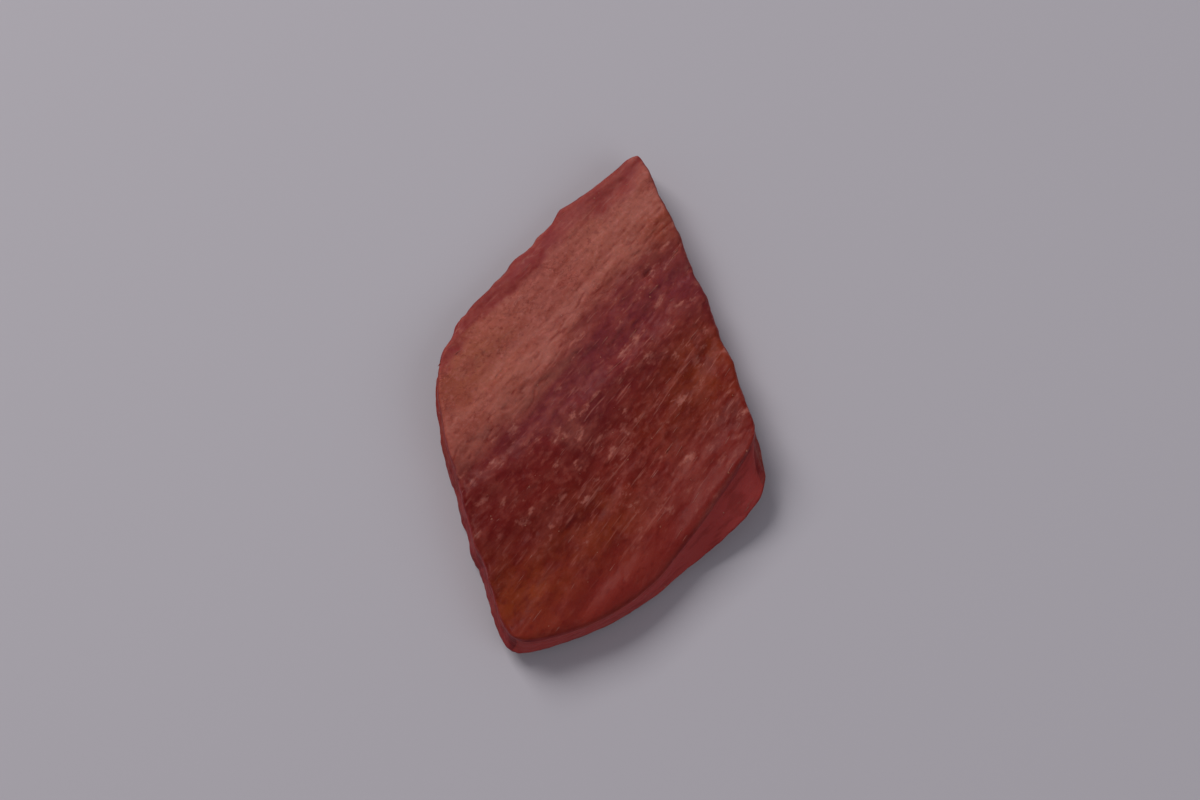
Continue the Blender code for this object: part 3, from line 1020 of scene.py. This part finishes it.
def spindles(centres, headings, ups, lengths, radii, rings):
    """Points and quads of closed spindles, one for each centre.

    Ring k of a spindle lies at its length times t - 1/2 along its heading, and its radius is the
    spindle's own times the root of the sine of pi t, so that both ends nearly close to a point.
    """
    t = np.linspace(0.02, 0.98, rings)
    round_angle = np.arange(SPINDLE_SIDES) * (2.0 * math.pi / SPINDLE_SIDES)
    rights = np.cross(headings, ups)
    swell = np.sqrt(np.sin(math.pi * t))
    circle = rights[:, None, None] * np.cos(round_angle)[None, None, :, None]
    circle = circle + ups[:, None, None] * np.sin(round_angle)[None, None, :, None]
    middle = centres[:, None] + headings[:, None] * (lengths[:, None] * (t - 0.5))[..., None]
    points = middle[:, :, None] + circle * (radii[:, None, None] * swell[None, :, None])[..., None]
    around = np.arange(SPINDLE_SIDES)
    ring, side = (grid.ravel() for grid in np.meshgrid(np.arange(rings - 1), around, indexing="ij"))
    after = (side + 1) % SPINDLE_SIDES
    this, following = ring * SPINDLE_SIDES, (ring + 1) * SPINDLE_SIDES
    quads = np.stack((this + side, this + after, following + after, following + side), axis=1)
    caps = np.array((around[::-1], (rings - 1) * SPINDLE_SIDES + around))
    offsets = np.arange(len(centres))[:, None, None] * (rings * SPINDLE_SIDES)
    return points, (np.concatenate((quads, caps))[None] + offsets).reshape(-1, 4)


def lay_spindles(name, material, random, spindle_parts, smooth):
    """Make one piece of spindles that lie in the flesh, with a tone drawn for each."""
    points, quads = spindle_parts
    points[..., 2] = np.clip(points[..., 2], NODE_LOW[2] + FLOOR_GAP, NODE_HIGH[2])
    piece = make_mesh(name, points.reshape(-1, 3), quads, smooth)
    tone = np.repeat(random.uniform(0.0, 1.0, len(points)), points.shape[1] * points.shape[2])
    add_attribute(piece, "tone", "FLOAT", "value", tone)
    piece.data.materials.append(material)
    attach(piece, BODY)


class PAPAYA_OT_strands(bpy.types.Operator):
    """Lay loose strand ends in the flesh"""

    bl_idname = "papaya.strands"
    bl_label = "Lay Strands"

    def execute(self, context):
        scatter = context.scene.papaya_scatter
        random = np.random.default_rng(STRAND_SEED)
        centres, ups = drawn_places(random, scatter.strand_count, STRAND_LOWEST)
        facing_up = ups[:, 2] > STRAND_FACING
        centres, ups = centres[facing_up], ups[facing_up]
        headings = centres - np.append(STALK_END, 0.0)
        headings[:, 2] = 0.0
        headings += random.normal(scale=STRAND_SPREAD, size=headings.shape)
        headings -= ups * (headings * ups).sum(axis=1, keepdims=True)
        headings /= np.linalg.norm(headings, axis=1, keepdims=True)
        lengths = scatter.strand_length * random.uniform(0.4, 1.0, len(centres)) ** 1.6
        radii = scatter.strand_radius * random.uniform(0.5, 1.0, len(centres))
        centres = centres - ups * (radii * STRAND_SINK)[:, None]
        parts = spindles(centres, headings, ups, lengths, radii, 8)
        lay_spindles("papaya_strands", strand_material(scatter), random, parts, smooth=True)
        return {"FINISHED"}


class PAPAYA_OT_sugar(bpy.types.Operator):
    """Scatter grains of dried sugar over the skin"""

    bl_idname = "papaya.sugar"
    bl_label = "Scatter Sugar"

    def execute(self, context):
        scatter = context.scene.papaya_scatter
        random = np.random.default_rng(GRAIN_SEED)
        centres, ups = drawn_places(random, scatter.grain_count, GRAIN_LOWEST)
        headings = np.cross(ups, random.normal(size=ups.shape))
        headings /= np.linalg.norm(headings, axis=1, keepdims=True)
        radii = scatter.grain_size * random.uniform(0.3, 1.0, len(centres)) ** 1.5
        lengths = radii * random.uniform(1.6, 2.8, len(centres))
        centres = centres - ups * (radii * GRAIN_SINK)[:, None]
        parts = spindles(centres, headings, ups, lengths, radii, 5)
        lay_spindles("papaya_sugar", sugar_material(scatter), random, parts, smooth=False)
        return {"FINISHED"}


def add_softbox(name, place, size, power, colour):
    """Add a square area light that faces the slice."""
    data = bpy.data.lights.new(name, "AREA")
    data.shape = "SQUARE"
    data.size = size
    data.energy = power
    data.color = colour
    light = bpy.data.objects.new(name, data)
    light.location = place
    light.rotation_euler = (TARGET - Vector(place)).to_track_quat("-Z", "Y").to_euler()
    bpy.context.scene.collection.objects.link(light)


class PAPAYA_OT_stage(bpy.types.Operator):
    """Set the floor, the soft lights and the camera"""

    bl_idname = "papaya.stage"
    bl_label = "Set Stage"

    def execute(self, context):
        scene = context.scene
        stage = scene.papaya_stage
        corners = FLOOR_REACH * np.array(((-1, -1, 0), (1, -1, 0), (1, 1, 0), (-1, 1, 0)))
        floor = make_mesh("floor", corners, np.array(((0, 1, 2, 3),)), smooth=False)
        floor.data.materials.append(floor_material(stage))

        world = bpy.data.worlds.new("soft_room")
        world.use_nodes = True
        background = world.node_tree.nodes["Background"]
        background.inputs["Color"].default_value = ROOM_COLOUR
        background.inputs["Strength"].default_value = ROOM_STRENGTH
        scene.world = world
        scene.view_settings.view_transform = "Standard"
        for softbox in SOFTBOXES:
            add_softbox(*softbox)

        camera_data = bpy.data.cameras.new("camera")
        camera_data.lens = stage.lens
        camera_data.sensor_width = SENSOR_WIDTH
        camera = bpy.data.objects.new("camera", camera_data)
        elevation = stage.camera_elevation
        back = Vector((0.0, -math.cos(elevation), math.sin(elevation)))
        turn = (-back).to_track_quat("-Z", "Y").to_matrix().to_4x4()
        camera.matrix_world = Matrix.Translation(TARGET + back * stage.camera_distance) @ turn
        scene.collection.objects.link(camera)
        scene.camera = camera
        return {"FINISHED"}


class PAPAYA_PT_panel(bpy.types.Panel):
    """Lists the settings and the steps that build the slice"""

    bl_label = "Dried Papaya Slice"
    bl_idname = "PAPAYA_PT_panel"
    bl_space_type = "VIEW_3D"
    bl_region_type = "UI"
    bl_category = "Papaya"

    def draw(self, context):
        for key, group in GROUPS.items():
            for name in group.__annotations__:
                self.layout.prop(getattr(context.scene, key), name)
        for step in STEPS:
            self.layout.operator(step.bl_idname)


GROUPS = {
    "papaya_flesh": PapayaFleshSettings,
    "papaya_scatter": PapayaScatterSettings,
    "papaya_stage": PapayaStageSettings,
}
STEPS = (PAPAYA_OT_stage, PAPAYA_OT_flesh, PAPAYA_OT_strands, PAPAYA_OT_sugar)


def register():
    """Register the settings, the operators and the panel."""
    for name, group in GROUPS.items():
        bpy.utils.register_class(group)
        setattr(bpy.types.Scene, name, PointerProperty(type=group))
    for step in (*STEPS, PAPAYA_PT_panel):
        bpy.utils.register_class(step)


def unregister():
    """Take everything that register added away again."""
    for step in (PAPAYA_PT_panel, *reversed(STEPS)):
        bpy.utils.unregister_class(step)
    for name, group in reversed(GROUPS.items()):
        delattr(bpy.types.Scene, name)
        bpy.utils.unregister_class(group)


def main():
    """Build the slice and its stage."""
    register()
    bpy.ops.papaya.stage()
    bpy.ops.papaya.flesh()
    bpy.ops.papaya.strands()
    bpy.ops.papaya.sugar()


if __name__ == "__main__":
    main()
